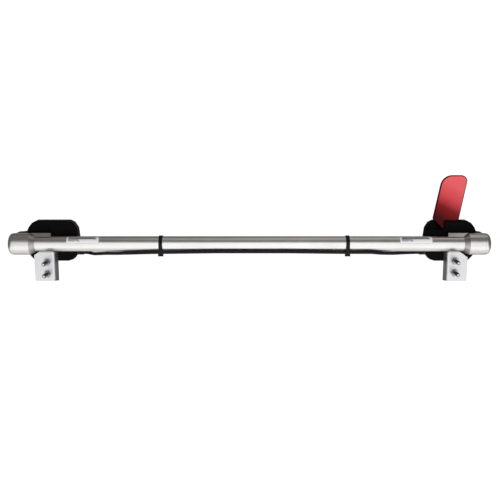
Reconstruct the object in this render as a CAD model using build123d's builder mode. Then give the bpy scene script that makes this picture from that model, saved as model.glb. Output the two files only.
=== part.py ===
from build123d import *
from math import cos, radians, sin
import os

# Pull up bar with two spring-loaded end noses, released by one lever.
# X runs along the bar, -Y is the front, +Z is up; the origin is the middle of the tube axis. Units: mm.
# Every side part is drawn for the right end and mirrored for the left one.

# --- bar tube ---
tube_radius = 16.0
tube_wall = 1.5
tube_half_length = 472.0
m5_radius = 2.5

# --- end nose: sleeve, collar bush and cap ---
nose_end = 500.0
cap_seam = 488.0
shoulder = 456.0
collar_end = 446.0
sleeve_radius = 22.5
sleeve_bore = 20.0
bush_clearance = 0.05
bush_end = 474.0
collar_tip_radius = 17.2
collar_root_radius = 22.2
shell_end = 412.5
shell_bore = 17.0
shell_lowest = -6.0
shell_slope = ((-7.0, 15.5), (3.0, 22.3))
cap_edge = 9.0
cap_spigot_end = 480.0
guide_rod_radius = 5.0
guide_rod_end = 430.0
guide_screw_x = 462.0
boss_inner = 442.0
boss_outer = 454.0
boss_back = 26.0
boss_half_height = 7.0

# --- lever and its drive ---
pivot_x = 428.0
pivot_z = 2.0
lean = 15.0
arm = 11.6
travel = 2 * arm * sin(radians(lean))
lever_front = 31.0
lever_back = 37.0
lever_bevel = 2.0
pin_radius = 2.5
pivot_radius = 4.0
bush_radius = 6.0
plate_front = boss_back
plate_back = 29.0
slot_clearance = 0.06

# --- tube plug and nose spring ---
plug_inner = 400.0
plug_outer = 410.0
spring_radius = 9.0
spring_wire = 1.0
spring_turns = 7

# --- bracket ---
bracket_inners = {"left": 405.5, "right": 411.5}
bracket_width = 43.0
bracket_front = -8.0
bracket_gauge = 4.0
bracket_back = 20.0
bracket_top = -16.9
bracket_bottom = -78.0
leg_drop = 4.5
bracket_bend = 5.0
bracket_chamfer_start = 440.0
bracket_chamfer_slope = 0.72
flange_top = -19.0
flange_bottom = -22.0
saddle_outer = 439.0
saddle_back = 14.0
bracket_screw_steps = (10.0, 19.5)

# --- studs ---
stud_step = 17.3
stud_spacing = 25.0
stud_tops = {"left": -37.6, "right": -34.6}
stud_radius = 4.0
shank_radius = 3.4
stud_reach = 28.0
nut_height = 6.5
nut_flats = 13.0
washer_radius = 7.4
washer_gauge = 1.6
head_height = 5.3

# --- housings; each one is shifted along the bar as the tube is clamped ---
housing_shifts = {"left": -3.0, "right": 5.5}
housing_front = 23.0
housing_split = 28.0
housing_back = 50.0
housing_wall = 2.5
cover_edge = 3.5
base_edge = 3.0
open_inner = 413.5
open_outer = 450.0
open_bottom = 9.5
cover_open_bottom = 26.0
open_depth = 38.0
post_inner = 367.0
post_outer = 389.0
post_half_height = 9.0
post_screw_xs = (372.0, 384.0)
cover_screw_spots = ((459.5, 31.0), (461.5, -29.0), (390.0, -34.0))
screw_boss_radius = 4.0
m3_radius = 1.5
rest_stop = (446.28, 37.3)
swing_stop = (384.09, 14.90)
stop_radius = 3.0

# --- cable ---
cable_radius = 3.5
cable_mouth_y = 33.0
cable_mouth_z = -24.0
cable_end = 366.0
ferrule_cup = 10.0
barrel_length = 14.0
ferrule_radius = 4.8
barrel_radius = 4.0
lock_nut_steps = (0.2, 10.2)
lock_nut_height = 3.0
lock_nut_flats = 9.0
block_low = -29.0
block_high = -17.0
block_back = 37.0
wire_radius = 0.8
wire_bore = 1.1
lay_radius = 20.0
tie_xs = {"left": -184.5, "right": 204.0}
tie_angle = 37.0
middle_angle = 43.5
lay_angles = {"left": (5.0, 14.5, 24.0), "right": (5.0, 21.0, 37.0)}
lay_drops = {"left": -24.2, "right": -22.0}
tie_width = 7.5
tie_gauge = 1.6
tie_head = 7.0
tie_head_height = 5.0

# --- stickers ---
label_inner = 311.5
label_outer = 379.5
label_gauge = 0.2
label_low_angle = 12.0
label_high_angle = 70.0


def at_x(x):
    """Plane across the bar at x, its normal along +X."""
    return Plane(origin=(x, 0, 0), x_dir=(0, 1, 0), z_dir=(1, 0, 0))


def at_y(y, x=0.0, z=0.0):
    """Plane facing +Y at (x, y, z); its local x is +X and its local y is -Z."""
    return Plane(origin=(x, y, z), x_dir=(1, 0, 0), z_dir=(0, 1, 0))


def block(x, y, z, mode=Mode.ADD):
    """Box given by its low and high limits on each axis."""
    with Locations(((x[0] + x[1]) / 2, (y[0] + y[1]) / 2, (z[0] + z[1]) / 2)):
        Box(x[1] - x[0], y[1] - y[0], z[1] - z[0], mode=mode)


def rod_x(radius, x0, x1, y=0.0, z=0.0, mode=Mode.ADD):
    """Round bar along X between x0 and x1."""
    with Locations(Location(((x0 + x1) / 2, y, z), (0, 90, 0))):
        Cylinder(radius, abs(x1 - x0), mode=mode)


def rod_y(radius, y0, y1, x, z, mode=Mode.ADD):
    """Round bar along Y between y0 and y1."""
    with Locations(Location((x, (y0 + y1) / 2, z), (90, 0, 0))):
        Cylinder(radius, abs(y1 - y0), mode=mode)


def rod_z(radius, z0, z1, x, y, mode=Mode.ADD):
    """Round bar along Z between z0 and z1."""
    with Locations((x, y, (z0 + z1) / 2)):
        Cylinder(radius, abs(z1 - z0), mode=mode)


def shell_x(radius, x0, x1, mode=Mode.ADD):
    """Rear part of a disc, with a slope over the top of the tube and a level edge below."""
    far = 3 * radius
    top = shell_slope[-1][0]
    with BuildSketch(at_x(x0)) as section:
        Circle(radius)
        with BuildLine():
            Polyline((-far, -far), (0, -far), (0, 0), *shell_slope, (top, far), (-far, far), close=True)
        make_face(mode=Mode.SUBTRACT)
        with Locations((0, shell_lowest - far / 2)):
            Rectangle(2 * far, far, mode=Mode.SUBTRACT)
    extrude(section.sketch, amount=x1 - x0, mode=mode)


def hexagon_y(flats, y0, y1, x, z, mode=Mode.ADD):
    """Hexagonal bar along Y between y0 and y1."""
    with BuildSketch(at_y(y0, x, z)) as hexagon:
        RegularPolygon(flats / 2, 6, major_radius=False)
    extrude(hexagon.sketch, amount=y1 - y0, mode=mode)


def outline_y(points, y0, y1, radius=0.0, mode=Mode.ADD):
    """Extrude an X-Z outline between y0 and y1, with its corners rounded."""
    with BuildSketch(at_y(y0)) as sketch:
        with BuildLine():
            Polyline([(x, -z) for x, z in points], close=True)
        make_face()
        if radius > 0:
            fillet(sketch.vertices(), radius)
    extrude(sketch.sketch, amount=y1 - y0, mode=mode)


def outline_x(points, x0, x1):
    """Extrude a Y-Z outline between x0 and x1."""
    with BuildSketch(at_x(x0)) as sketch:
        with BuildLine():
            Polyline(points, close=True)
        make_face()
    extrude(sketch.sketch, amount=x1 - x0)


def save(part, node):
    """Label one node and write its STEP file."""
    part.label = node
    export_step(part, f"parts/{node}.step")


def save_side(part, node, side):
    """Write a node drawn for the right end, mirrored where it belongs on the left."""
    if side == "left":
        part = mirror(part, about=Plane.YZ)
    save(part, f"{side}_{node}")


def save_pair(part, node):
    """Write a node drawn for the right end, and its mirror image for the left."""
    for side in ("right", "left"):
        save_side(part, node, side)


os.makedirs("parts", exist_ok=True)

# --- bar tube, drilled for every screw that enters it ---
tube_bore = tube_radius - tube_wall
slot_reach = travel / 2 + m5_radius + 0.3

with BuildPart() as bar_tube:
    rod_x(tube_radius, -tube_half_length, tube_half_length)
    rod_x(tube_bore, -tube_half_length, tube_half_length, mode=Mode.SUBTRACT)
    for side, sign in (("left", -1), ("right", 1)):
        for step in bracket_screw_steps:
            x = sign * (bracket_inners[side] + step)
            rod_z(m5_radius, -tube_radius - 1, 0, x, 0, mode=Mode.SUBTRACT)
        for post_x in post_screw_xs:
            x = sign * (post_x + housing_shifts[side])
            rod_y(m5_radius, 0, tube_radius + 1, x, 0, mode=Mode.SUBTRACT)
        plug_middle = sign * (plug_inner + plug_outer) / 2
        rod_y(m5_radius, 0, tube_radius + 1, plug_middle, 0, mode=Mode.SUBTRACT)
        slot_middle = sign * (guide_screw_x - travel / 2)
        slot_half = m5_radius + 0.1
        block(
            (slot_middle - slot_reach + slot_half, slot_middle + slot_reach - slot_half),
            (0, tube_radius + 1),
            (-slot_half, slot_half),
            mode=Mode.SUBTRACT,
        )
        for end in (-1, 1):
            x = slot_middle + end * (slot_reach - slot_half)
            rod_y(slot_half, 0, tube_radius + 1, x, 0, mode=Mode.SUBTRACT)
save(bar_tube.part, "bar_tube")

# --- end nose ---
with BuildPart() as sleeve:
    rod_x(sleeve_radius, shoulder, cap_seam)
    shell_x(sleeve_radius, shell_end, shoulder)
    with Locations(Location((shell_end, 0, sleeve_radius), (0, 0, -10))):
        Box(4, 60, 60, mode=Mode.SUBTRACT)
    block((boss_inner, boss_outer), (15, boss_back), (-boss_half_height + 1, boss_half_height))
    rod_x(shell_bore, shell_end - 10, shoulder, mode=Mode.SUBTRACT)
    rod_x(sleeve_bore, shoulder, cap_seam, mode=Mode.SUBTRACT)
    rod_y(m5_radius, 10, sleeve_radius + 5, guide_screw_x, 0, mode=Mode.SUBTRACT)
    for z in (-3.2, 4.0):
        rod_y(1.6, 18, boss_back, (boss_inner + boss_outer) / 2, z, mode=Mode.SUBTRACT)
save_pair(sleeve.part, "sleeve")

with BuildPart() as nose_cap:
    rod_x(sleeve_radius, cap_seam, nose_end)
    fillet(nose_cap.edges().filter_by(GeomType.CIRCLE).group_by(Axis.X)[-1], cap_edge)
    rod_x(sleeve_bore, cap_spigot_end, cap_seam)
    rod_x(guide_rod_radius, guide_rod_end, cap_spigot_end)
    chamfer(nose_cap.edges().filter_by(GeomType.CIRCLE).group_by(Axis.X)[0], 1)
save_pair(nose_cap.part, "nose_cap")

with BuildPart() as sleeve_bush:
    with Locations(Location(((collar_end + shoulder) / 2, 0, 0), (0, 90, 0))):
        Cone(collar_tip_radius, collar_root_radius, shoulder - collar_end)
    shell_x(30, collar_end - 1, shoulder, mode=Mode.SUBTRACT)
    with Locations(Location(((collar_end + shoulder) / 2, 0, 0), (0, 90, 0))):
        Cylinder(shell_bore, shoulder - collar_end)
    rod_x(sleeve_bore, shoulder, bush_end)
    rod_x(tube_radius + bush_clearance, collar_end - 1, bush_end, mode=Mode.SUBTRACT)
    rod_y(m5_radius, 0, sleeve_bore + 1, guide_screw_x, 0, mode=Mode.SUBTRACT)
save_pair(sleeve_bush.part, "sleeve_bush")

with BuildPart() as guide_screw:
    rod_y(m5_radius, tube_bore - 0.8, sleeve_radius - 0.8, guide_screw_x, 0)
    chamfer(guide_screw.edges().group_by(Axis.Y)[0], 0.6)
save_pair(guide_screw.part, "guide_screw")

# --- tube plug, its grub screw and the nose spring ---
plug_middle = (plug_inner + plug_outer) / 2

with BuildPart() as tube_plug:
    rod_x(tube_bore, plug_inner, plug_outer)
    rod_y(m5_radius, 8, tube_bore + 1, plug_middle, 0, mode=Mode.SUBTRACT)
save_pair(tube_plug.part, "tube_plug")

with BuildPart() as plug_screw:
    rod_y(m5_radius, 8.5, tube_radius - 0.3, plug_middle, 0)
    chamfer(plug_screw.edges().group_by(Axis.Y)[0], 0.6)
save_pair(plug_screw.part, "plug_screw")

spring_length = cap_spigot_end - plug_outer - 2 * spring_wire - 0.2
spring_start = plug_outer + spring_wire + 0.1

with BuildPart() as nose_spring:
    with BuildLine() as coil:
        Helix(spring_length / spring_turns, spring_length, spring_radius)
    with BuildSketch(Plane(origin=coil.line @ 0, z_dir=coil.line % 0)):
        Circle(spring_wire)
    sweep(is_frenet=True)
save_pair(nose_spring.part.moved(Location((spring_start, 0, 0), (0, 90, 0))), "nose_spring")

# --- saddle and bracket ---
plate_inside = bracket_front + bracket_gauge


def saddle_at(inner):
    """Block between the tube and the bracket's flange."""
    with BuildPart() as saddle:
        block((inner + bracket_gauge, saddle_outer), (plate_inside, saddle_back), (flange_top, -9))
        rod_x(tube_radius, inner, saddle_outer + 5, mode=Mode.SUBTRACT)
        for step in bracket_screw_steps:
            rod_z(m5_radius + 0.25, flange_top, 0, inner + step, 0, mode=Mode.SUBTRACT)
    return saddle.part


def stud_zs(side):
    """Heights of the two studs of one bracket."""
    return stud_tops[side], stud_tops[side] - stud_spacing


def bracket_at(side):
    """Front plate, rear leg and top flange, bent from one sheet."""
    inner = bracket_inners[side]
    outer = inner + bracket_width
    chamfer_drop = (outer - bracket_chamfer_start) * bracket_chamfer_slope
    with BuildPart() as bracket:
        outline_y(
            (
                (inner, bracket_top),
                (bracket_chamfer_start, bracket_top),
                (outer, bracket_top - chamfer_drop),
                (outer, bracket_bottom),
                (inner, bracket_bottom),
            ),
            bracket_front,
            plate_inside,
        )
        block((inner, inner + bracket_gauge), (bracket_front, bracket_back), (bracket_bottom, bracket_top))
        bend = bracket.edges().filter_by(Axis.Z).group_by(Axis.Y)[0].group_by(Axis.X)[0]
        fillet(bend, bracket_bend)
        outline_x(
            (
                (bracket_front + bracket_bend, bracket_bottom + 1),
                (bracket_back, bracket_bottom + 1),
                (bracket_back, bracket_bottom - leg_drop),
                (bracket_front + bracket_bend, bracket_bottom),
            ),
            inner,
            inner + bracket_gauge,
        )
        block((inner, saddle_outer), (plate_inside, bracket_back), (flange_bottom, flange_top))
        hole = stud_radius + 0.25
        for z in stud_zs(side):
            rod_y(hole, bracket_front - 1, plate_inside + 1, inner + stud_step, z, mode=Mode.SUBTRACT)
        for step in bracket_screw_steps:
            rod_z(m5_radius + 0.25, flange_bottom - 1, flange_top + 1, inner + step, 0, mode=Mode.SUBTRACT)
    return bracket.part


def bracket_screws_at(inner):
    """Button-head screws up through the flange and saddle into the tube."""
    with BuildPart() as bracket_screws:
        for step in bracket_screw_steps:
            rod_z(m5_radius, flange_bottom, -tube_bore + 1.2, inner + step, 0)
            rod_z(3.8, flange_bottom - 3, flange_bottom, inner + step, 0)
        fillet(bracket_screws.edges().filter_by(GeomType.CIRCLE).group_by(Axis.Z)[0], 1.2)
        for step in bracket_screw_steps:
            rod_z(1.5, flange_bottom - 3, flange_bottom - 1.2, inner + step, 0, mode=Mode.SUBTRACT)
    return bracket_screws.part


# --- stud bolts, their washers and nuts ---
head_front = plate_inside + washer_gauge


def stud_bolts_at(x, zs):
    """Two studs that point forward, with their heads behind the plate."""
    with BuildPart() as stud_bolts:
        for z in zs:
            rod_y(shank_radius, bracket_front - nut_height, head_front, x, z)
            rod_y(stud_radius, bracket_front - stud_reach, bracket_front - nut_height, x, z)
        chamfer(stud_bolts.edges().filter_by(GeomType.CIRCLE).group_by(Axis.Y)[0], 0.9)
        for z in zs:
            hexagon_y(nut_flats, head_front, head_front + head_height, x, z)
    return stud_bolts.part


def stud_washers_at(x, zs):
    """Flat washers between the heads and the plate."""
    with BuildPart() as stud_washers:
        for z in zs:
            rod_y(washer_radius, plate_inside, head_front, x, z)
            rod_y(shank_radius, plate_inside, head_front, x, z, mode=Mode.SUBTRACT)
    return stud_washers.part


def stud_nuts_at(x, zs):
    """Nuts that clamp the studs to the front of the plate."""
    with BuildPart() as stud_nuts:
        for z in zs:
            hexagon_y(nut_flats, bracket_front - nut_height, bracket_front, x, z)
        chamfer(stud_nuts.edges().group_by(Axis.Y)[0], 0.6)
        for z in zs:
            rod_y(shank_radius, bracket_front - nut_height, bracket_front, x, z, mode=Mode.SUBTRACT)
    return stud_nuts.part


for side, inner in bracket_inners.items():
    save_side(saddle_at(inner), "saddle", side)
    save_side(bracket_at(side), "bracket", side)
    save_side(bracket_screws_at(inner), "bracket_screws", side)
    save_side(stud_bolts_at(inner + stud_step, stud_zs(side)), "stud_bolts", side)
    save_side(stud_washers_at(inner + stud_step, stud_zs(side)), "stud_washers", side)
    save_side(stud_nuts_at(inner + stud_step, stud_zs(side)), "stud_nuts", side)

# --- housings: a rear base and a front cover at each end ---
housing_outline = (
    (385, 45),
    (454.5, 45),
    (463, 40.5),
    (470, 32),
    (475, 21),
    (495, 19),
    (495, -9),
    (479, -11),
    (468, -31),
    (458, -41),
    (388, -41),
    (377.5, -37.5),
    (370.5, -28),
    (365.5, 6),
    (368, 28.5),
    (375.5, 40.5),
)
pocket_outline = (
    (386, 42.5),
    (453.9, 42.5),
    (461.3, 38.6),
    (467.8, 30.7),
    (473, 18.5),
    (492.5, 16.7),
    (492.5, -6.8),
    (477.5, -8.5),
    (466, -29.5),
    (457, -38.5),
    (388.3, -38.5),
    (379, -35.4),
    (372.9, -27),
    (368.1, 6),
    (370.4, 27.7),
    (377.3, 38.6),
)
opening = ((360, open_outer), (housing_front - 1, open_depth), (open_bottom, 60))
cover_opening = ((360, open_inner), (housing_front - 1, housing_split + 1), (cover_open_bottom, 60))


tab_end = 490.0


def shifted(points, shift):
    """Move an outline along the bar, apart from the end of its outer tab."""
    return [(x if x > tab_end else x + shift, z) for x, z in points]


def housing_base(side):
    """Rear tray with the post that clamps it to the tube."""
    shift = housing_shifts[side]
    post = (post_inner + shift, post_outer + shift)
    with BuildPart() as base:
        outline_y(shifted(housing_outline, shift), housing_split, housing_back, 2)
        fillet(base.faces().sort_by(Axis.Y)[-1].outer_wire().edges(), base_edge)
        pocket = shifted(pocket_outline, shift)
        outline_y(pocket, housing_split, housing_back - housing_wall, mode=Mode.SUBTRACT)
        if side == "right":
            block(*opening, mode=Mode.SUBTRACT)
        block(
            (post[0] + 1.5, post[1]),
            (tube_radius * 0.7, housing_back - housing_wall),
            (-post_half_height, post_half_height),
        )
        rod_x(tube_radius, post[0] - 5, post[1] + 5, mode=Mode.SUBTRACT)
        for x in post_screw_xs:
            rod_y(m5_radius + 0.25, 0, housing_back, x + shift, 0, mode=Mode.SUBTRACT)
            rod_y(4.75, 44, housing_back, x + shift, 0, mode=Mode.SUBTRACT)
        for x, z in cover_screw_spots:
            rod_y(screw_boss_radius, housing_split, housing_back - housing_wall, x + shift, z)
            rod_y(m3_radius + 0.1, housing_split, housing_back, x + shift, z, mode=Mode.SUBTRACT)
            rod_y(3, housing_back - 3, housing_back, x + shift, z, mode=Mode.SUBTRACT)
        barrel_end = cable_end + shift + barrel_length
        rod_x(barrel_radius, 355, barrel_end, cable_mouth_y, cable_mouth_z, mode=Mode.SUBTRACT)
        if side == "right":
            block((401, 415), (housing_split + 2, housing_back - housing_wall), (-39.5, block_low - 0.4))
            rod_y(10, 43.6, housing_back - housing_wall, pivot_x, pivot_z)
            rod_y(6.8, lever_back + 0.5, 44, pivot_x, pivot_z)
            rod_y(pivot_radius, lever_back, housing_back, pivot_x, pivot_z, mode=Mode.SUBTRACT)
            nut_pocket = housing_back - 4.5
            hexagon_y(nut_flats + 0.4, nut_pocket, housing_back, pivot_x, pivot_z, mode=Mode.SUBTRACT)
    return base.part


def housing_cover(side):
    """Front shell, slotted for the nose boss and notched round the post."""
    shift = housing_shifts[side]
    with BuildPart() as cover:
        outline_y(shifted(housing_outline, shift), housing_front, housing_split, 2)
        fillet(cover.faces().sort_by(Axis.Y)[0].outer_wire().edges(), cover_edge)
        pocket = shifted(pocket_outline, shift)
        outline_y(pocket, housing_front + housing_wall, housing_split, mode=Mode.SUBTRACT)
        for x, z in cover_screw_spots:
            rod_y(screw_boss_radius, housing_front + 1.5, housing_split, x + shift, z)
            rod_y(m3_radius, housing_front + 2, housing_split, x + shift, z, mode=Mode.SUBTRACT)
        if side == "right":
            block(*cover_opening, mode=Mode.SUBTRACT)
        block(
            (post_inner + shift - 10, post_outer + shift + 0.5),
            (housing_front - 1, housing_split + 1),
            (-post_half_height - 0.5, post_half_height + 0.5),
            mode=Mode.SUBTRACT,
        )
        block(
            (boss_inner - travel - 1, boss_outer + 1),
            (housing_front - 1, housing_split + 1),
            (-boss_half_height - 1, boss_half_height + 1),
            mode=Mode.SUBTRACT,
        )
    return cover.part


def cover_screws_at(shift):
    """Screws from the back of the base into the cover."""
    with BuildPart() as cover_screws:
        for x, z in cover_screw_spots:
            rod_y(m3_radius, housing_front + 3, housing_back - 3, x + shift, z)
            rod_y(2.9, housing_back - 3, housing_back - 0.8, x + shift, z)
            rod_y(1.0, housing_back - 2, housing_back - 0.8, x + shift, z, mode=Mode.SUBTRACT)
    return cover_screws.part


def housing_screws_at(shift):
    """Screws from the back of the base through its post into the tube."""
    with BuildPart() as housing_screws:
        for x in post_screw_xs:
            rod_y(m5_radius, tube_bore - 1, 44, x + shift, 0)
            rod_y(4.25, 44, 48.5, x + shift, 0)
            rod_y(2.0, 46, 48.5, x + shift, 0, mode=Mode.SUBTRACT)
    return housing_screws.part


for side, shift in housing_shifts.items():
    save_side(housing_base(side), "housing_base", side)
    save_side(housing_cover(side), "housing_cover", side)
    save_side(cover_screws_at(shift), "cover_screws", side)
    save_side(housing_screws_at(shift), "housing_screws", side)

# --- lever, its pins, pivot, stops and return spring ---
drive_x = pivot_x + arm * sin(radians(lean))
drive_z = pivot_z + arm * cos(radians(lean))
wire_x = pivot_x - arm * sin(radians(lean))
wire_z = pivot_z - arm * cos(radians(lean))

lever_outline = (
    (388.5, 48.5),
    (406.5, 140.5),
    (460.7, 140.5),
    (444.5, 51),
    (440.5, 10),
    (431, -14.5),
    (420, -15),
    (415, -2),
    (409, 26),
)

with BuildPart() as lever:
    outline_y(lever_outline, lever_front, lever_back)
    fillet(lever.edges().filter_by(Axis.Y).sort_by(Axis.X)[0], 6)
    fillet(lever.edges().filter_by(Axis.Y).sort_by(Axis.X)[-1], 12.5)
    fillet(lever.edges().filter_by(Axis.Y).filter_by_position(Axis.Z, 140, 141).sort_by(Axis.X)[0], 25)
    fillet(lever.edges().filter_by(Axis.Y).filter_by_position(Axis.Z, -16, -10), 3.5)
    chamfer(lever.faces().sort_by(Axis.Y)[0].outer_wire().edges(), lever_bevel)
    rod_y(bush_radius, lever_front, lever_back, pivot_x, pivot_z, mode=Mode.SUBTRACT)
    for x, z in ((drive_x, drive_z), (wire_x, wire_z)):
        rod_y(pin_radius, lever_front, lever_back, x, z, mode=Mode.SUBTRACT)
save(lever.part, "lever")

with BuildPart() as lever_bush:
    rod_y(bush_radius, lever_front, lever_back, pivot_x, pivot_z)
    rod_y(pivot_radius + bush_clearance, lever_front, lever_back, pivot_x, pivot_z, mode=Mode.SUBTRACT)
save(lever_bush.part, "lever_bush")

with BuildPart() as drive_pin:
    rod_y(pin_radius, plate_front - 0.1, lever_back, drive_x, drive_z)
save(drive_pin.part, "drive_pin")

with BuildPart() as wire_pin:
    rod_y(pin_radius, plate_front - 0.1, lever_back, wire_x, wire_z)
save(wire_pin.part, "wire_pin")

with BuildPart() as lever_pivot_bolt:
    rod_y(pivot_radius, lever_front - 0.3, housing_back - 0.5, pivot_x, pivot_z)
    rod_y(6.0, lever_front - 4, lever_front - 0.3, pivot_x, pivot_z)
    fillet(lever_pivot_bolt.edges().filter_by(GeomType.CIRCLE).group_by(Axis.Y)[0], 1.5)
    rod_y(2.2, lever_front - 4, lever_front - 2, pivot_x, pivot_z, mode=Mode.SUBTRACT)
save(lever_pivot_bolt.part, "lever_pivot_bolt")

with BuildPart() as lever_pivot_nut:
    hexagon_y(nut_flats, housing_back - 4.5, housing_back - 0.3, pivot_x, pivot_z)
    rod_y(pivot_radius, housing_back - 4.5, housing_back, pivot_x, pivot_z, mode=Mode.SUBTRACT)
save(lever_pivot_nut.part, "lever_pivot_nut")

with BuildPart() as lever_stops:
    for x, z in (rest_stop, swing_stop):
        rod_y(stop_radius, lever_front - 1, housing_back - housing_wall, x, z)
save(lever_stops.part, "lever_stops")

torsion_radius = 8.2
torsion_wire = 0.7
torsion_start = lever_back + 1.1
torsion_turns = 3
torsion_pitch = 1.5

with BuildPart() as lever_return_spring:
    with BuildLine() as torsion_path:
        Helix(torsion_pitch, torsion_pitch * torsion_turns, torsion_radius)
    with BuildSketch(Plane(origin=torsion_path.line @ 0, z_dir=torsion_path.line % 0)):
        Circle(torsion_wire)
    sweep(is_frenet=True)
torsion_place = Location((pivot_x, torsion_start, pivot_z), (-90, 0, 0))
save(lever_return_spring.part.moved(torsion_place), "lever_return_spring")

# --- drive plate on the right, pull plate on the left ---
slot_half = pin_radius + slot_clearance
slot_low = drive_z - pin_radius - 0.3
slot_high = pivot_z + arm + pin_radius + 0.3

with BuildPart() as right_drive_plate:
    outline_y(
        (
            (boss_inner, -boss_half_height),
            (boss_outer, -boss_half_height),
            (boss_outer, 20),
            (423, 20),
            (423, 9.5),
            (boss_inner, 9.5),
        ),
        plate_front,
        plate_back,
    )
    block(
        (drive_x - slot_half, drive_x + slot_half),
        (plate_front, plate_back),
        (slot_low, slot_high),
        mode=Mode.SUBTRACT,
    )
    for z in (-3.2, 4.0):
        rod_y(1.6, plate_front, plate_back, (boss_inner + boss_outer) / 2, z, mode=Mode.SUBTRACT)
save(right_drive_plate.part, "right_drive_plate")

with BuildPart() as pull_plate:
    outline_y(
        (
            (boss_inner, boss_half_height),
            (boss_outer, boss_half_height),
            (boss_outer, block_low),
            (413, block_low),
            (413, block_high),
            (boss_inner, block_high),
        ),
        plate_front,
        plate_back,
    )
    block((413, 417), (plate_front, block_back), (block_low, block_high))
    rod_x(2.0, 413, 417, cable_mouth_y, cable_mouth_z, mode=Mode.SUBTRACT)
    for z in (-3.2, 4.0):
        rod_y(1.6, plate_front, plate_back, (boss_inner + boss_outer) / 2, z, mode=Mode.SUBTRACT)
save(mirror(pull_plate.part, about=Plane.YZ), "left_pull_plate")

with BuildPart() as plate_screws:
    for z in (-3.2, 4.0):
        rod_y(1.6, 20.5, plate_back, (boss_inner + boss_outer) / 2, z)
        rod_y(3.0, plate_back, plate_back + 1.6, (boss_inner + boss_outer) / 2, z)
save_pair(plate_screws.part, "plate_screws")

# --- wire ends ---
wire_starts = {side: cable_end + shift + barrel_length for side, shift in housing_shifts.items()}

with BuildPart() as left_wire_end:
    rod_x(wire_radius, wire_starts["left"] - 2, 417, cable_mouth_y, cable_mouth_z)
    rod_x(2.0, 413, 417, cable_mouth_y, cable_mouth_z)
    rod_x(3.2, 417, 421, cable_mouth_y, cable_mouth_z)
save(mirror(left_wire_end.part, about=Plane.YZ), "left_wire_end")

with BuildPart() as right_wire_end:
    outline_y(
        (
            (wire_x - 5.5, -4.7),
            (wire_x + 4.2, -4.7),
            (wire_x + 4.2, -15),
            (407, -15),
            (407, block_low),
            (403, block_low),
            (403, -12),
            (wire_x - 5.5, -12),
        ),
        plate_front,
        plate_back,
    )
    block((403, 407), (plate_front, block_back), (block_low, -18))
    block(
        (wire_x - slot_half, wire_x + slot_half),
        (plate_front, plate_back),
        (pivot_z - arm - pin_radius - 0.3, wire_z + pin_radius + 0.3),
        mode=Mode.SUBTRACT,
    )
    rod_x(wire_radius, wire_starts["right"] - 8, 404, cable_mouth_y, cable_mouth_z)
save(right_wire_end.part, "right_wire_end")

# --- cable casing, ferrules, lock nuts and ties ---


def lay(x, angle, radius=lay_radius):
    """Point beside the tube, measured from straight down towards the front."""
    return x, -radius * sin(radians(angle)), -radius * cos(radians(angle))


def half_run(side):
    """Route from a housing to the underside of the tube."""
    mouth = cable_end + housing_shifts[side]
    near, middle, far = lay_angles[side]
    return [
        (mouth, cable_mouth_y, cable_mouth_z),
        (mouth - 16, cable_mouth_y, cable_mouth_z),
        (328, 17, lay_drops[side]),
        lay(300, near, 19.9),
        lay(276, middle, 19.9),
        lay(252, far, 19.9),
    ]


left_run = [(-x, y, z) for x, y, z in half_run("left")]
middle_run = [
    lay(tie_xs["left"] - 10, tie_angle),
    lay(tie_xs["left"] + 10, tie_angle),
    lay(-70, middle_angle, 19.8),
    lay(80, middle_angle, 19.8),
    lay(tie_xs["right"] - 10, tie_angle),
    lay(tie_xs["right"] + 10, tie_angle),
]
route = left_run + middle_run + half_run("right")[::-1]

with BuildPart() as cable_casing:
    with BuildLine() as casing_path:
        FilletPolyline(*route, radius=12)
    with BuildSketch(Plane(origin=casing_path.line @ 0, z_dir=casing_path.line % 0)):
        Circle(cable_radius)
    sweep()
save(cable_casing.part, "cable_casing")



def cable_ferrule_at(mouth):
    """Cup on the casing's end, and the threaded barrel through the housing wall."""
    with BuildPart() as ferrule:
        rod_x(barrel_radius, mouth, mouth + barrel_length, cable_mouth_y, cable_mouth_z)
        rod_x(ferrule_radius, mouth - ferrule_cup, mouth, cable_mouth_y, cable_mouth_z)
        chamfer(ferrule.edges().filter_by(GeomType.CIRCLE).group_by(Axis.X)[0], 0.8)
        casing = (cable_radius, mouth - ferrule_cup, mouth, cable_mouth_y, cable_mouth_z)
        rod_x(*casing, mode=Mode.SUBTRACT)
        wire = (wire_bore, mouth, mouth + barrel_length, cable_mouth_y, cable_mouth_z)
        rod_x(*wire, mode=Mode.SUBTRACT)
    return ferrule.part


def cable_lock_nuts_at(mouth):
    """Thin nuts on the barrel, one each side of the housing wall."""
    with BuildPart() as lock_nuts:
        for step in lock_nut_steps:
            origin = (mouth + step, cable_mouth_y, cable_mouth_z)
            with BuildSketch(Plane(origin=origin, x_dir=(0, 1, 0), z_dir=(1, 0, 0))):
                RegularPolygon(lock_nut_flats / 2, 6, major_radius=False)
                Circle(barrel_radius, mode=Mode.SUBTRACT)
            extrude(amount=lock_nut_height)
    return lock_nuts.part


for side, shift in housing_shifts.items():
    save_side(cable_ferrule_at(cable_end + shift), "cable_ferrule", side)
    save_side(cable_lock_nuts_at(cable_end + shift), "cable_lock_nuts", side)


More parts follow.
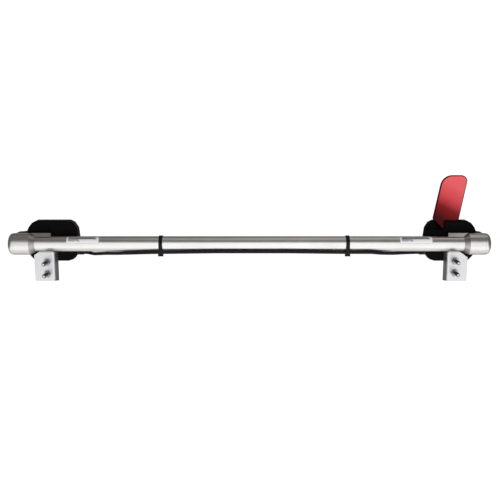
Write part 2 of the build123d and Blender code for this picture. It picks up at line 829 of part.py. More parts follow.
def cable_tie(x):
    """Strap round the tube and the cable, with its head underneath."""
    _, cable_y, cable_z = lay(0, tie_angle)
    with BuildPart() as tie:
        with BuildSketch(at_x(x - tie_width / 2)):
            with BuildSketch(mode=Mode.PRIVATE) as outer:
                Circle(tube_radius + tie_gauge)
                with Locations((cable_y, cable_z)):
                    Circle(cable_radius + tie_gauge)
                make_hull()
            with BuildSketch(mode=Mode.PRIVATE) as inner:
                Circle(tube_radius)
                with Locations((cable_y, cable_z)):
                    Circle(cable_radius)
                make_hull()
            add(outer.sketch)
            add(inner.sketch, mode=Mode.SUBTRACT)
        extrude(amount=tie_width)
        head_top = cable_z - cable_radius
        head_middle = cable_y + 1.5
        block(
            (x - tie_width / 2 - 1.6, x + tie_width / 2 + 1.6),
            (head_middle - tie_head / 2, head_middle + tie_head / 2),
            (head_top - tie_head_height, head_top - tie_gauge / 2),
        )
        fillet(tie.edges().filter_by(Axis.X).group_by(Axis.Z)[0], 0.8)
    return tie.part


for side, tie_x in tie_xs.items():
    save(cable_tie(tie_x), f"{side}_cable_tie")

# --- stickers ---
with BuildPart() as label:
    with BuildSketch(at_x(label_inner)):
        Circle(tube_radius + label_gauge)
        Circle(tube_radius, mode=Mode.SUBTRACT)
        with BuildLine():
            far = 3 * tube_radius
            Polyline(
                (0, 0),
                (-far * cos(radians(label_low_angle)), far * sin(radians(label_low_angle))),
                (-far, far),
                (-far * cos(radians(label_high_angle)), far * sin(radians(label_high_angle))),
                close=True,
            )
        make_face(mode=Mode.INTERSECT)
    extrude(amount=label_outer - label_inner)
save_pair(label.part, "label")
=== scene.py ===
import math

import bmesh
import bpy
from mathutils import Matrix, Vector


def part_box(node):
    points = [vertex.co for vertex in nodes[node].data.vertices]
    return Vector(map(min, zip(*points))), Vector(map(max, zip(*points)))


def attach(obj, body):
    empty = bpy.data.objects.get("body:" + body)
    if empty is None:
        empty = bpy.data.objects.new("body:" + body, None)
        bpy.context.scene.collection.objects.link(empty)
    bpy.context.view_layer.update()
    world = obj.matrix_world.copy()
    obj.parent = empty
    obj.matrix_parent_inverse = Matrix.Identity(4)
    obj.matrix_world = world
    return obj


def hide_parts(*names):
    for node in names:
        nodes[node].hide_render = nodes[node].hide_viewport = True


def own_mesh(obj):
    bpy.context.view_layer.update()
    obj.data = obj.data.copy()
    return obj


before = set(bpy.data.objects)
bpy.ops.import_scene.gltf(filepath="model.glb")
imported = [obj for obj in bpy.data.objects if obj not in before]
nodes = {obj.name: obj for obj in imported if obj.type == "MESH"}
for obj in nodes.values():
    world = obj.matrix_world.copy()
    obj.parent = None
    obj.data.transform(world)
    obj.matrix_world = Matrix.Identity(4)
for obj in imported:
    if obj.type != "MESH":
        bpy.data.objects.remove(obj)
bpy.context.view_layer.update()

# All lengths are in metres.
SIDES = (("left", -1), ("right", 1))


# ---------- node helpers ----------
def new_material(name):
    """An empty material with its node tree and its Principled shader."""
    mat = bpy.data.materials.new(name)
    mat.use_nodes = True
    tree = mat.node_tree
    return mat, tree, tree.nodes["Principled BSDF"]


def add(tree, kind, **values):
    """A new node, with its properties set by name."""
    node = tree.nodes.new(kind)
    for key, value in values.items():
        setattr(node, key, value)
    return node


def coords(tree, scale=(1, 1, 1)):
    """The object's own coordinates in metres, scaled."""
    texco = add(tree, "ShaderNodeTexCoord")
    mapping = add(tree, "ShaderNodeMapping")
    mapping.inputs["Scale"].default_value = scale
    tree.links.new(texco.outputs["Object"], mapping.inputs["Vector"])
    return mapping.outputs["Vector"]


def noise(tree, vector, scale, detail, rough=0.55):
    """Cloudy noise between 0 and 1."""
    node = add(tree, "ShaderNodeTexNoise")
    node.inputs["Scale"].default_value = scale
    node.inputs["Detail"].default_value = detail
    node.inputs["Roughness"].default_value = rough
    tree.links.new(vector, node.inputs["Vector"])
    return node.outputs["Fac"]


def ramp(tree, fac, stops):
    """A colour ramp through stops of position and colour."""
    node = add(tree, "ShaderNodeValToRGB")
    elements = node.color_ramp.elements
    while len(elements) < len(stops):
        elements.new(0.5)
    for element, (at, colour) in zip(elements, stops):
        element.position = at
        element.color = (*colour, 1)
    tree.links.new(fac, node.inputs["Fac"])
    return node.outputs["Color"]


def spread(tree, fac, low, high):
    """A 0 to 1 value mapped to run from low to high."""
    node = add(tree, "ShaderNodeMapRange")
    node.inputs["To Min"].default_value = low
    node.inputs["To Max"].default_value = high
    tree.links.new(fac, node.inputs["Value"])
    return node.outputs["Result"]


def bump(tree, bsdf, height, strength, distance):
    """Relief of a depth in metres on a shader's normal."""
    node = add(tree, "ShaderNodeBump")
    node.inputs["Strength"].default_value = strength
    node.inputs["Distance"].default_value = distance
    tree.links.new(height, node.inputs["Height"])
    tree.links.new(node.outputs["Normal"], bsdf.inputs["Normal"])


# Wear is judged by the cosine between the rounded and the flat normal.
EDGE_START = 0.995
EDGE_FULL = 0.80


def worn(tree, colour, wear_colour, amount, reach=0.0012):
    """The colour with its edges rubbed through to another, broken up by noise."""
    bevel = add(tree, "ShaderNodeBevel", samples=4)
    bevel.inputs["Radius"].default_value = reach
    geometry = add(tree, "ShaderNodeNewGeometry")
    dot = add(tree, "ShaderNodeVectorMath", operation="DOT_PRODUCT")
    tree.links.new(bevel.outputs["Normal"], dot.inputs[0])
    tree.links.new(geometry.outputs["Normal"], dot.inputs[1])
    edge = add(tree, "ShaderNodeMapRange")
    edge.inputs["From Min"].default_value = EDGE_START
    edge.inputs["From Max"].default_value = EDGE_FULL
    edge.inputs["To Max"].default_value = amount
    tree.links.new(dot.outputs["Value"], edge.inputs["Value"])
    patches = spread(tree, noise(tree, coords(tree), 240, 3), 0.35, 1.15)
    mask = add(tree, "ShaderNodeMath", operation="MULTIPLY", use_clamp=True)
    tree.links.new(edge.outputs["Result"], mask.inputs[0])
    tree.links.new(patches, mask.inputs[1])
    mix = add(tree, "ShaderNodeMix", data_type="RGBA")
    tree.links.new(mask.outputs[0], mix.inputs["Factor"])
    tree.links.new(colour, mix.inputs["A"])
    mix.inputs["B"].default_value = (*wear_colour, 1)
    return mix.outputs["Result"]


def along(tree, start, end):
    """0 at one point of the object's own space and 1 at the other."""
    texco = add(tree, "ShaderNodeTexCoord")
    start, end = Vector(start), Vector(end)
    axis = (end - start) / (end - start).length_squared
    dot = add(tree, "ShaderNodeVectorMath", operation="DOT_PRODUCT")
    tree.links.new(texco.outputs["Object"], dot.inputs[0])
    dot.inputs[1].default_value = axis
    shift = add(tree, "ShaderNodeMath", operation="SUBTRACT")
    tree.links.new(dot.outputs["Value"], shift.inputs[0])
    shift.inputs[1].default_value = axis.dot(start)
    return shift.outputs[0]


def facing(tree, axis, low, high):
    """1 where the object's own normal points along an axis or against it, 0 where it is side on."""
    texco = add(tree, "ShaderNodeTexCoord")
    dot = add(tree, "ShaderNodeVectorMath", operation="DOT_PRODUCT")
    tree.links.new(texco.outputs["Normal"], dot.inputs[0])
    dot.inputs[1].default_value = axis
    size = add(tree, "ShaderNodeMath", operation="ABSOLUTE")
    tree.links.new(dot.outputs["Value"], size.inputs[0])
    span = add(tree, "ShaderNodeMapRange")
    span.inputs["From Min"].default_value = low
    span.inputs["From Max"].default_value = high
    tree.links.new(size.outputs[0], span.inputs["Value"])
    return span.outputs["Result"]


def blend(tree, factor, first, second):
    """The first colour where the factor is 0 and the second where it is 1; each is a value or a socket."""
    mix = add(tree, "ShaderNodeMix", data_type="RGBA")
    tree.links.new(factor, mix.inputs["Factor"])
    for colour, socket in ((first, mix.inputs["A"]), (second, mix.inputs["B"])):
        if isinstance(colour, tuple):
            socket.default_value = (*colour, 1)
        else:
            tree.links.new(colour, socket)
    return mix.outputs["Result"]


def metal(tree, bsdf, base, rough, height, strength, depth):
    """Metal of a colour and roughness, with relief of a depth in metres."""
    tree.links.new(base, bsdf.inputs["Base Color"])
    bsdf.inputs["Metallic"].default_value = 1.0
    tree.links.new(rough, bsdf.inputs["Roughness"])
    bump(tree, bsdf, height, strength, depth)


# ---------- materials ----------
def anodised(name, dark, light, grain, roughness, streaks=900.0, stretch=18.0):
    """Satin anodised metal: fine draw lines along the bar and a cloudy tone."""
    mat, tree, bsdf = new_material(name)
    lines = noise(tree, coords(tree, (stretch, streaks, streaks)), 1.0, 3)
    clouds = noise(tree, coords(tree), 14, 5)
    mixed = add(tree, "ShaderNodeMath", operation="MULTIPLY_ADD")
    tree.links.new(lines, mixed.inputs[0])
    mixed.inputs[1].default_value = 0.6
    tree.links.new(spread(tree, clouds, 0.0, 0.4), mixed.inputs[2])
    base = ramp(tree, mixed.outputs[0], ((0.3, dark), (0.75, light)))
    rough = spread(tree, lines, roughness - 0.04, roughness + 0.06)
    metal(tree, bsdf, base, rough, lines, grain, 0.00004)
    return mat


def plated(name, dark, light, roughness, scale=420.0):
    """Plated or ground metal: fine crystalline mottling and worn corners."""
    mat, tree, bsdf = new_material(name)
    speckle = noise(tree, coords(tree), scale, 5, 0.65)
    base = ramp(tree, speckle, ((0.32, dark), (0.68, light)))
    rubbed = worn(tree, base, (0.9, 0.9, 0.9), 0.6, 0.0006)
    rough = spread(tree, speckle, roughness - 0.06, roughness + 0.1)
    metal(tree, bsdf, rubbed, rough, speckle, 0.15, 0.00005)
    return mat


def moulded(name, dark, light, roughness, cell, depth, specular, wear):
    """Spark-textured moulded plastic with slightly polished, paler edges."""
    mat, tree, bsdf = new_material(name)
    grain = noise(tree, coords(tree), cell, 2, 0.6)
    broad = noise(tree, coords(tree), 30, 4)
    base = ramp(tree, broad, ((0.3, dark), (0.7, light)))
    tree.links.new(worn(tree, base, wear, 0.5), bsdf.inputs["Base Color"])
    bsdf.inputs["Specular IOR Level"].default_value = specular
    tree.links.new(spread(tree, broad, roughness - 0.05, roughness + 0.08), bsdf.inputs["Roughness"])
    bump(tree, bsdf, grain, depth, 0.00006)
    return mat


def bracket_metal():
    """Satin plated sheet: vertical grain, cloudy tone, brighter worn edges, and painted shade darkening the
    sides that face along X.
    """
    mat, tree, bsdf = new_material("satin_plate")
    grain = noise(tree, coords(tree, (900, 900, 22)), 1.0, 3)
    clouds = noise(tree, coords(tree), 26, 4)
    mixed = add(tree, "ShaderNodeMath", operation="MULTIPLY_ADD")
    tree.links.new(grain, mixed.inputs[0])
    mixed.inputs[1].default_value = 0.35
    tree.links.new(spread(tree, clouds, 0.0, 0.65), mixed.inputs[2])
    base = ramp(tree, mixed.outputs[0], ((0.3, (0.50, 0.505, 0.52)), (0.7, (0.60, 0.605, 0.62))))
    # Painted shade: faces whose normals run along X, such as the legs, are darkened.
    painted_shade_sides = blend(tree, facing(tree, (1, 0, 0), 0.6, 0.9), base, (0.38, 0.385, 0.40))
    rubbed = worn(tree, painted_shade_sides, (0.68, 0.68, 0.70), 0.5)
    rough = spread(tree, mixed.outputs[0], 0.36, 0.48)
    metal(tree, bsdf, rubbed, rough, grain, 0.2, 0.00004)
    return mat


# Painted shade and painted light run along the lever from its root to its tip.
LIGHT_SHADE_START = 0.02
LIGHT_SHADE_PAST = 0.01


def lever_paint():
    """Metallic red over flake, with painted shade deepening it to near black at the root, painted light
    brightening it at the tip, and painted shade on the bevels.
    """
    mat, tree, bsdf = new_material("metallic_red")
    lever_low, lever_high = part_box("lever")
    root = (lever_low[0], 0, lever_low[2] + LIGHT_SHADE_START)
    tip = (lever_high[0] + LIGHT_SHADE_PAST, 0, lever_high[2] + LIGHT_SHADE_PAST)
    tint = noise(tree, coords(tree), 34, 4)
    place = add(tree, "ShaderNodeMath", operation="ADD")
    tree.links.new(along(tree, root, tip), place.inputs[0])
    tree.links.new(spread(tree, tint, -0.035, 0.035), place.inputs[1])
    # Painted shade near black at the root, rising to painted light at the tip.
    light_shade_reds = (
        (0.0, (0.008, 0.0008, 0.001)),
        (0.28, (0.02, 0.0014, 0.0018)),
        (0.42, (0.13, 0.006, 0.008)),
        (0.56, (0.44, 0.046, 0.056)),
        (0.72, (0.57, 0.088, 0.098)),
        (0.97, (0.62, 0.105, 0.112)),
    )
    light_shade_gradient = ramp(tree, place.outputs[0], light_shade_reds)
    flake = add(tree, "ShaderNodeTexVoronoi", feature="F1")
    flake.inputs["Scale"].default_value = 2600
    tree.links.new(coords(tree), flake.inputs["Vector"])
    sparkle = spread(tree, flake.outputs["Distance"], 0.07, 0.0)
    flaked = blend(tree, sparkle, light_shade_gradient, (0.70, 0.14, 0.15))
    # Painted shade: dark red on the bevels and sides, whose normals point away from Y.
    painted_shade_bevels = blend(tree, facing(tree, (0, 1, 0), 0.80, 0.97), (0.06, 0.004, 0.006), flaked)
    rubbed = worn(tree, painted_shade_bevels, (0.16, 0.02, 0.025), 0.4, 0.0008)
    rough = spread(tree, tint, 0.36, 0.44)
    metal(tree, bsdf, rubbed, rough, noise(tree, coords(tree), 500, 3), 0.12, 0.00005)
    return mat


def turned(name, side, end, roughness):
    """Screw hardware: painted shade on the flanks and sides, and painted light on the end faces."""
    mat, tree, bsdf = new_material(name)
    speckle = noise(tree, coords(tree), 700, 5, 0.65)
    shaded_flank = ramp(tree, speckle, ((0.32, tuple(c * 0.65 for c in side)), (0.68, side)))
    # Painted light and shade: end faces along Y take the bright colour, flanks and sides the dark one.
    lit_ends_shaded_flanks = blend(tree, facing(tree, (0, 1, 0), 0.85, 0.97), shaded_flank, end)
    rubbed = worn(tree, lit_ends_shaded_flanks, (0.7, 0.7, 0.7), 0.4, 0.0005)
    rough = spread(tree, speckle, roughness - 0.06, roughness + 0.1)
    metal(tree, bsdf, rubbed, rough, speckle, 0.15, 0.00005)
    return mat


def film():
    """White vinyl film with a faint fibre tone; its printed bars are pieces of their own."""
    mat, tree, bsdf = new_material("sticker_film")
    clouds = noise(tree, coords(tree), 60, 4)
    base = ramp(tree, clouds, ((0.3, (0.72, 0.73, 0.75)), (0.7, (0.80, 0.80, 0.81))))
    tree.links.new(base, bsdf.inputs["Base Color"])
    tree.links.new(spread(tree, clouds, 0.28, 0.4), bsdf.inputs["Roughness"])
    bump(tree, bsdf, noise(tree, coords(tree), 900, 2), 0.08, 0.00003)
    return mat


def print_ink():
    """Dark grey ink, a little uneven."""
    mat, tree, bsdf = new_material("printed_grey")
    clouds = noise(tree, coords(tree), 900, 3)
    base = ramp(tree, clouds, ((0.3, (0.04, 0.04, 0.045)), (0.7, (0.08, 0.08, 0.085))))
    tree.links.new(base, bsdf.inputs["Base Color"])
    tree.links.new(spread(tree, clouds, 0.4, 0.55), bsdf.inputs["Roughness"])
    return mat


MATERIALS = {
    "tube": anodised("anodised_tube", (0.535, 0.535, 0.53), (0.655, 0.655, 0.65), 0.35, 0.34),
    "sleeve": anodised("anodised_sleeve", (0.52, 0.52, 0.515), (0.64, 0.64, 0.635), 0.3, 0.34, 800.0, 30.0),
    # Painted shade: the collar is a darker copy of the sleeve's anodised finish.
    "collar": anodised("shaded_satin_collar", (0.30, 0.29, 0.28), (0.40, 0.39, 0.38), 0.3, 0.36, 700.0, 60.0),
    "bracket": bracket_metal(),
    "zinc": plated("zinc_plate", (0.30, 0.305, 0.32), (0.46, 0.465, 0.48), 0.27),
    "washer": plated("washer_steel", (0.09, 0.09, 0.10), (0.17, 0.17, 0.18), 0.30),
    # Nut and stud: the dark side colour is painted shade, the bright end colour painted light.
    "nut": turned("nut_steel", (0.10, 0.102, 0.108), (0.30, 0.305, 0.315), 0.27),
    "stud": turned("stud_steel", (0.07, 0.07, 0.075), (0.46, 0.46, 0.48), 0.28),
    "black_oxide": plated("black_oxide", (0.016, 0.016, 0.018), (0.035, 0.035, 0.038), 0.40, 600.0),
    "spring": plated("spring_steel", (0.24, 0.24, 0.25), (0.36, 0.36, 0.37), 0.3),
    "housing": moulded(
        "housing_polymer", (0.0022, 0.0020, 0.0022), (0.0042, 0.0038, 0.0040), 0.58,
        cell=1500, depth=0.4, specular=0.035, wear=(0.009, 0.009, 0.010),
    ),
    "red": lever_paint(),
    "jacket": moulded(
        "cable_jacket", (0.004, 0.004, 0.008), (0.007, 0.007, 0.012), 0.45,
        cell=900, depth=0.15, specular=0.14, wear=(0.015, 0.015, 0.018),
    ),
    "nylon": moulded(
        "tie_nylon", (0.0025, 0.0025, 0.003), (0.005, 0.005, 0.006), 0.42,
        cell=700, depth=0.2, specular=0.12, wear=(0.012, 0.012, 0.012),
    ),
    "bronze": plated("sintered_bronze", (0.30, 0.20, 0.09), (0.50, 0.36, 0.17), 0.42, 1400.0),
    "rubber": moulded(
        "stop_rubber", (0.012, 0.012, 0.012), (0.02, 0.02, 0.02), 0.7,
        cell=600, depth=0.3, specular=0.3, wear=(0.05, 0.05, 0.05),
    ),
    "film": film(),
    "ink": print_ink(),
    "border": moulded(
        "sticker_border", (0.30, 0.30, 0.32), (0.38, 0.38, 0.40), 0.4,
        cell=900, depth=0.1, specular=0.4, wear=(0.5, 0.5, 0.5),
    ),
    # Painted shadow line for the ring where each cap meets its sleeve.
    "seam": moulded(
        "seam_shadow", (0.10, 0.098, 0.095), (0.15, 0.148, 0.145), 0.5,
        cell=900, depth=0.1, specular=0.3, wear=(0.3, 0.3, 0.3),
    ),
}


def both(*names):
    """Node names of both ends."""
    return [f"{side}_{name}" for side, _ in SIDES for name in names]


FINISH = {
    "tube": ["bar_tube", *both("saddle")],
    "sleeve": both("sleeve", "nose_cap"),
    "collar": both("sleeve_bush"),
    "bracket": both("bracket"),
    "zinc": [
        *both("plug_screw", "tube_plug", "guide_screw", "plate_screws"),
        "lever_pivot_nut", "right_drive_plate", "left_pull_plate", "right_wire_end", "left_wire_end",
    ],
    "washer": both("stud_washers"),
    "nut": both("stud_nuts"),
    "stud": [*both("stud_bolts"), "drive_pin", "wire_pin"],
    "black_oxide": [
        *both("bracket_screws", "cover_screws", "housing_screws", "cable_lock_nuts"),
        "lever_pivot_bolt",
    ],
    "spring": ["lever_return_spring", *both("nose_spring")],
    "housing": both("housing_base", "housing_cover"),
    "red": ["lever"],
    "jacket": ["cable_casing"],
    "nylon": both("cable_tie", "cable_ferrule"),
    "bronze": ["lever_bush"],
    "rubber": ["lever_stops"],
    "film": both("label"),
}
for key, names in FINISH.items():
    for name in names:
        mesh = nodes[name].data
        mesh.materials.clear()
        mesh.materials.append(MATERIALS[key])


# ---------- mesh helpers ----------
SHARP_ANGLE = math.radians(32)


def make(name, bm, body, key):
    """A piece from a bmesh, smooth apart from its sharp edges, riding on a body."""
    mesh = bpy.data.meshes.new(name)
    bmesh.ops.recalc_face_normals(bm, faces=bm.faces)
    bm.to_mesh(mesh)
    bm.free()
    obj = bpy.data.objects.new(name, mesh)
    bpy.context.scene.collection.objects.link(obj)
    mesh.materials.append(MATERIALS[key])
    for polygon in mesh.polygons:
        polygon.use_smooth = True
    mesh.set_sharp_from_angle(angle=SHARP_ANGLE)
    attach(obj, body)
    return obj


def skin(bm, rings):
    """Closed solid over a row of rings that have the same number of points."""
    for here, there in zip(rings, rings[1:]):
        for i in range(len(here)):
            j = (i + 1) % len(here)
            bm.faces.new((here[i], here[j], there[j], there[i]))
    bm.faces.new(rings[0])
    bm.faces.new(rings[-1])


def lathe(bm, profile, place, steps):
    """Closed profile of radius and height turned about local Z, then placed."""
    rings = []
    for k in range(steps):
        turn = 2 * math.pi * k / steps
        across, up = math.cos(turn), math.sin(turn)
        rings.append([bm.verts.new(place @ Vector((r * across, r * up, h))) for r, h in profile])
    count = len(profile)
    for k in range(steps):
        here, there = rings[k], rings[(k + 1) % steps]
        for i in range(count):
            j = (i + 1) % count
            bm.faces.new((here[i], there[i], there[j], here[j]))


def mirrored(sign, point):
    """A point drawn for the right end, on the side that is asked for."""
    x, y, z = point
    return sign * x, y, z


# ---------- sticker print: generic bars and a border, no lettering ----------
LABEL_RADIUS = 0.0162
LABEL_ANGLES = (12, 70)
PRINT_GAUGE = 0.00006
BORDER = 0.0009
BORDER_ANGLE = 2.2
PRINT_BARS = (  # distance from the start, length, and angles up the tube in degrees
    (0.004, 0.056, (56, 64)),
    (0.004, 0.058, (45.5, 53.5)),
    (0.004, 0.022, (36, 42)),
    (0.004, 0.014, (28, 32)),
    (0.021, 0.007, (28, 32)),
)


def tube_patch(bm, sign, xs, angles, steps):
    """Thin curved panel on a sticker, its angle counted up from straight ahead."""
    inner, outer = LABEL_RADIUS, LABEL_RADIUS + PRINT_GAUGE
    rings = []
    for k in range(steps + 1):
        angle = math.radians(angles[0] + (angles[1] - angles[0]) * k / steps)
        ring = []
        for x, r in ((xs[0], inner), (xs[1], inner), (xs[1], outer), (xs[0], outer)):
            ring.append(bm.verts.new(mirrored(sign, (x, -r * math.cos(angle), r * math.sin(angle)))))
        rings.append(ring)
    skin(bm, rings)


def label_print(side, sign):
    """Bars and a border on one sticker, starting at its left edge as seen from the front."""
    low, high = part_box(f"{side}_label")
    inner, outer = sorted((abs(low[0]), abs(high[0])))
    width = outer - inner
    start = inner if sign > 0 else outer

    def span(offset, length):
        return sorted((start + sign * offset, start + sign * (offset + length)))

    bars = bmesh.new()
    for offset, length, angles in PRINT_BARS:
        tube_patch(bars, sign, span(offset, length), angles, steps=4)
    make(f"{side}_label_print", bars, "bar", "ink")
    edge = bmesh.new()
    bottom, top = LABEL_ANGLES
    between = (bottom + BORDER_ANGLE, top - BORDER_ANGLE)
    for angles in ((bottom, between[0]), (between[1], top)):
        tube_patch(edge, sign, span(0, width), angles, steps=3)
    for offset in (0, width - BORDER):
        tube_patch(edge, sign, span(offset, BORDER), between, steps=10)
    make(f"{side}_label_border", edge, "bar", "border")


# ---------- threaded studs ----------
THREAD_PITCH = 0.00125
THREAD_DEPTH = 0.00072
TURN_STEPS = 24
PITCH_STEPS = 8
THREAD_CREST = 0.92
THREAD_FLANK = 0.72
STUD_RADIUS = 0.004
TIP_RADIUS = 0.0023
TIP_SLOPE = 1.1
HEAD_BEVEL = 0.0007
NUT_BEVEL = 0.0009
STUD_SPACING = 0.025
BEVEL_RISE = 0.55
HEXAGON_STEPS = 48


def thread_radius(crest, phase):
    """Thread form near sixty degrees: flat crest, straight flanks and a flat root."""
    ridge = abs(2 * (phase % 1.0) - 1)
    return crest - THREAD_DEPTH * min(1.0, max(0.0, (THREAD_CREST - ridge) / THREAD_FLANK))


def threaded_rod(bm, x, z, tip, root, crest):
    """Rod along Y from its chamfered tip to its root, with one real helical thread."""
    rows = int((root - tip) / THREAD_PITCH * PITCH_STEPS)
    rings = []
    for row in range(rows + 1):
        y = tip + (root - tip) * row / rows
        limit = TIP_RADIUS + (y - tip) * TIP_SLOPE
        ring = []
        for k in range(TURN_STEPS):
            turn = 2 * math.pi * k / TURN_STEPS
            r = min(limit, thread_radius(crest, (y - tip) / THREAD_PITCH + k / TURN_STEPS))
            ring.append(bm.verts.new((x + r * math.cos(turn), y, z + r * math.sin(turn))))
        rings.append(ring)
    skin(bm, rings)


def hexagon(bm, x, z, front, back, flats, bevel):
    """Hexagonal prism along Y with both rims turned off."""
    corner = flats / math.sqrt(3)
    rise = bevel * BEVEL_RISE
    rings = []
    for y, cut in ((front, bevel), (front + rise, 0), (back - rise, 0), (back, bevel)):
        ring = []
        for k in range(HEXAGON_STEPS):
            turn = 2 * math.pi * k / HEXAGON_STEPS
            sector = (turn + math.pi / 6) % (math.pi / 3) - math.pi / 6
            flat_side = flats / 2 / math.cos(sector)
            r = min(flat_side, corner - cut)
            ring.append(bm.verts.new((x + r * math.sin(turn), y, z + r * math.cos(turn))))
        rings.append(ring)
    skin(bm, rings)


def studs(side):
    """Threaded studs with hexagon heads, and hexagon nuts, in place of the plain ones."""
    low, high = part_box(f"{side}_stud_bolts")
    nut_low, nut_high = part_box(f"{side}_stud_nuts")
    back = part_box(f"{side}_stud_washers")[1][1]
    x = (low[0] + high[0]) / 2
    flats = nut_high[2] - nut_low[2] - STUD_SPACING
    heights = (low[2] + flats / 2, high[2] - flats / 2)
    bolts, nuts = bmesh.new(), bmesh.new()
    for z in heights:
        threaded_rod(bolts, x, z, low[1], back, STUD_RADIUS)
        hexagon(bolts, x, z, back, high[1], flats, HEAD_BEVEL)
        hexagon(nuts, x, z, nut_low[1], nut_high[1], flats, NUT_BEVEL)
    piece = make(f"{side}_threaded_studs", bolts, "bar", "stud")
    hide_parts(f"{side}_stud_bolts")
    piece = make(f"{side}_hex_nuts", nuts, "bar", "nut")
    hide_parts(f"{side}_stud_nuts")


# ---------- nose springs ----------
SPRING_WIRE = 0.001
SPRING_TURNS = 7
SPRING_STEPS = 36
WIRE_STEPS = 10


def coil_spring(side, sign):
    """Round-wire compression spring, drawn at its rest length."""
    low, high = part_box(f"{side}_nose_spring")
    start, end = sorted((abs(low[0]), abs(high[0])))
    mean = (high[2] - low[2]) / 2 - SPRING_WIRE
    steps = SPRING_TURNS * SPRING_STEPS
    bm = bmesh.new()
    rings = []
    for k in range(steps + 1):
        turn = 2 * math.pi * SPRING_TURNS * k / steps
        x = start + SPRING_WIRE + (end - start - 2 * SPRING_WIRE) * k / steps
        ring = []
        for j in range(WIRE_STEPS):
            angle = 2 * math.pi * j / WIRE_STEPS
            reach = mean + SPRING_WIRE * math.cos(angle)
            place = (x + SPRING_WIRE * math.sin(angle), reach * math.cos(turn), reach * math.sin(turn))
            ring.append(bm.verts.new(mirrored(sign, place)))
        rings.append(ring)
    skin(bm, rings)
    piece = make(f"{side}_coil_spring", bm, "bar", "spring")
    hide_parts(f"{side}_nose_spring")
    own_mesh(piece)


# ---------- painted cap seam shadows ---
SEAM_WIDTH = 0.0003
SEAM_DEPTH = 0.0003
SEAM_RISE = 0.00003
SEAM_STEPS = 96


def seam_shadow_ring(side, sign):
    """Fine dark ring where the cap meets the sleeve: a painted shadow line."""
    low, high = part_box(f"{side}_sleeve")
    seam = max(abs(low[0]), abs(high[0]))
    radius = (high[2] - low[2]) / 2
    bm = bmesh.new()
    place = Matrix.Translation((sign * seam, 0, 0)) @ Matrix.Rotation(math.radians(90), 4, "Y")
    inner, outer, half = radius - SEAM_DEPTH, radius + SEAM_RISE, SEAM_WIDTH / 2
    profile = [(inner, -half), (outer, -half), (outer, half), (inner, half)]
    lathe(bm, profile, place, SEAM_STEPS)
    make(f"{side}_seam_shadow_ring", bm, f"{side}_nose", "seam")


for side, sign in SIDES:
    label_print(side, sign)
    studs(side)
    coil_spring(side, sign)
    seam_shadow_ring(side, sign)


# ---------- stage, light and camera ----------
STAGE_WIDTH = 14
WALL_HEIGHT = 5
WALL_DISTANCE = 4.2
WALL_MIDDLE = 1.0
FLOOR_HEIGHT = -0.62
FLOOR_BACK = 1.0


def flat(name, colour, glow):
    """Matt, self-lit studio white."""
    mat, tree, bsdf = new_material(name)
    tone = noise(tree, coords(tree), 0.8, 2)
    shade = ramp(tree, tone, ((0.2, colour), (0.8, tuple(c * 0.985 for c in colour))))
    tree.links.new(shade, bsdf.inputs["Base Color"])
    bsdf.inputs["Roughness"].default_value = 0.9
    bsdf.inputs["Emission Color"].default_value = (1, 1, 1, 1)
    bsdf.inputs["Emission Strength"].default_value = glow
    return mat


def plane(name, width, depth, matrix, mat):
    """One sheet of the studio, seen by the camera but adding no light and no reflection."""
    bm = bmesh.new()
    bmesh.ops.create_grid(bm, x_segments=1, y_segments=1, size=0.5)
    mesh = bpy.data.meshes.new(name)
    bm.to_mesh(mesh)
    bm.free()
    mesh.materials.append(mat)
    obj = bpy.data.objects.new(name, mesh)
    bpy.context.scene.collection.objects.link(obj)
    obj.matrix_world = matrix @ Matrix.Diagonal((width, depth, 1, 1))
    obj.visible_diffuse = False
    obj.visible_glossy = False
    obj.visible_shadow = not name.startswith("wall")


pale = flat("studio_white", (0.6, 0.6, 0.6), 0.92)
plane("floor", STAGE_WIDTH, STAGE_WIDTH, Matrix.Translation((0, FLOOR_BACK, FLOOR_HEIGHT)), pale)
upright = Matrix.Rotation(math.radians(90), 4, "X")
for name, turn in (("backdrop", 0), ("wall_left", 90), ("wall_front", 180), ("wall_right", 270)):
    place = Matrix.Rotation(math.radians(turn), 4, "Z") @ Matrix.Translation((0, WALL_DISTANCE, WALL_MIDDLE))
    plane(name, STAGE_WIDTH, WALL_HEIGHT, place @ upright, pale)


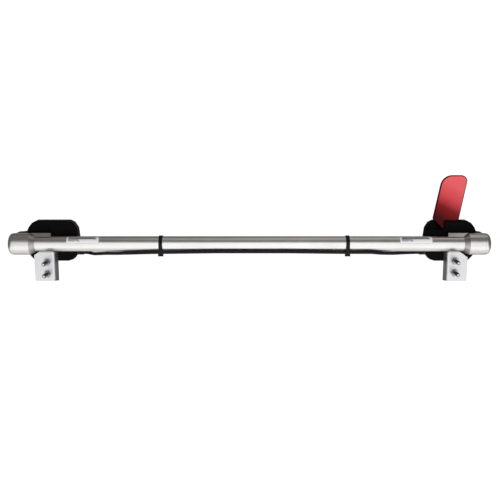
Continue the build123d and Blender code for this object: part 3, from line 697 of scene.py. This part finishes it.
def area(name, place, target, size, radiance, colour=(1, 1, 1), in_reflections=True):
    """Rectangular soft light of one brightness whatever its size, hidden from the camera."""
    data = bpy.data.lights.new(name, "AREA")
    data.shape = "RECTANGLE"
    data.size, data.size_y = size
    data.energy = radiance * math.pi * size[0] * size[1]
    data.color = colour
    obj = bpy.data.objects.new(name, data)
    bpy.context.scene.collection.objects.link(obj)
    obj.location = place
    obj.rotation_mode = "QUATERNION"
    obj.rotation_quaternion = (Vector(target) - Vector(place)).to_track_quat("-Z", "Y")
    obj.visible_glossy = in_reflections
    obj.visible_camera = False


area("front_soft", (0.1, -2.7, 0.40), (0, 0, 0), (3.4, 2.0), 1.62)
area("front_low", (0, -1.4, -0.58), (0, -1.4, 1), (3.4, 2.2), 1.55)
area("rear_soft", (0, 2.7, 0.25), (0, 0, 0), (3.2, 1.1), 0.95)
area("under_soft", (0, 0.02, -0.58), (0, 0.02, 1), (3.0, 0.64), 0.95)
area("front_fill", (0.3, -2.6, 0.3), (0, 0, 0), (2.0, 1.0), 3.0, in_reflections=False)
area("top_soft", (0.45, 0.1, 2.1), (0.3, 0, 0), (1.5, 2.4), 0.48, (1.0, 0.95, 0.90))

world = bpy.data.worlds.new("studio")
bpy.context.scene.world = world
world.use_nodes = True
background = world.node_tree.nodes["Background"]
background.inputs["Color"].default_value = (0.38, 0.345, 0.325, 1)
background.inputs["Strength"].default_value = 0.44

camera = bpy.data.objects.new("camera", bpy.data.cameras.new("camera"))
bpy.context.scene.collection.objects.link(camera)
bpy.context.scene.camera = camera
camera.data.sensor_width = 36
camera.data.lens = 54.3
pitch = math.radians(9.5)
distance = 1.575
aim = Vector((0.0011, 0, 0))
camera.location = aim + Vector((0, -math.cos(pitch), math.sin(pitch))) * distance
camera.rotation_mode = "QUATERNION"
camera.rotation_quaternion = Vector((0, math.cos(pitch), -math.sin(pitch))).to_track_quat("-Z", "Y")
camera.data.shift_y = -0.0124
bpy.context.scene.view_settings.view_transform = "Standard"
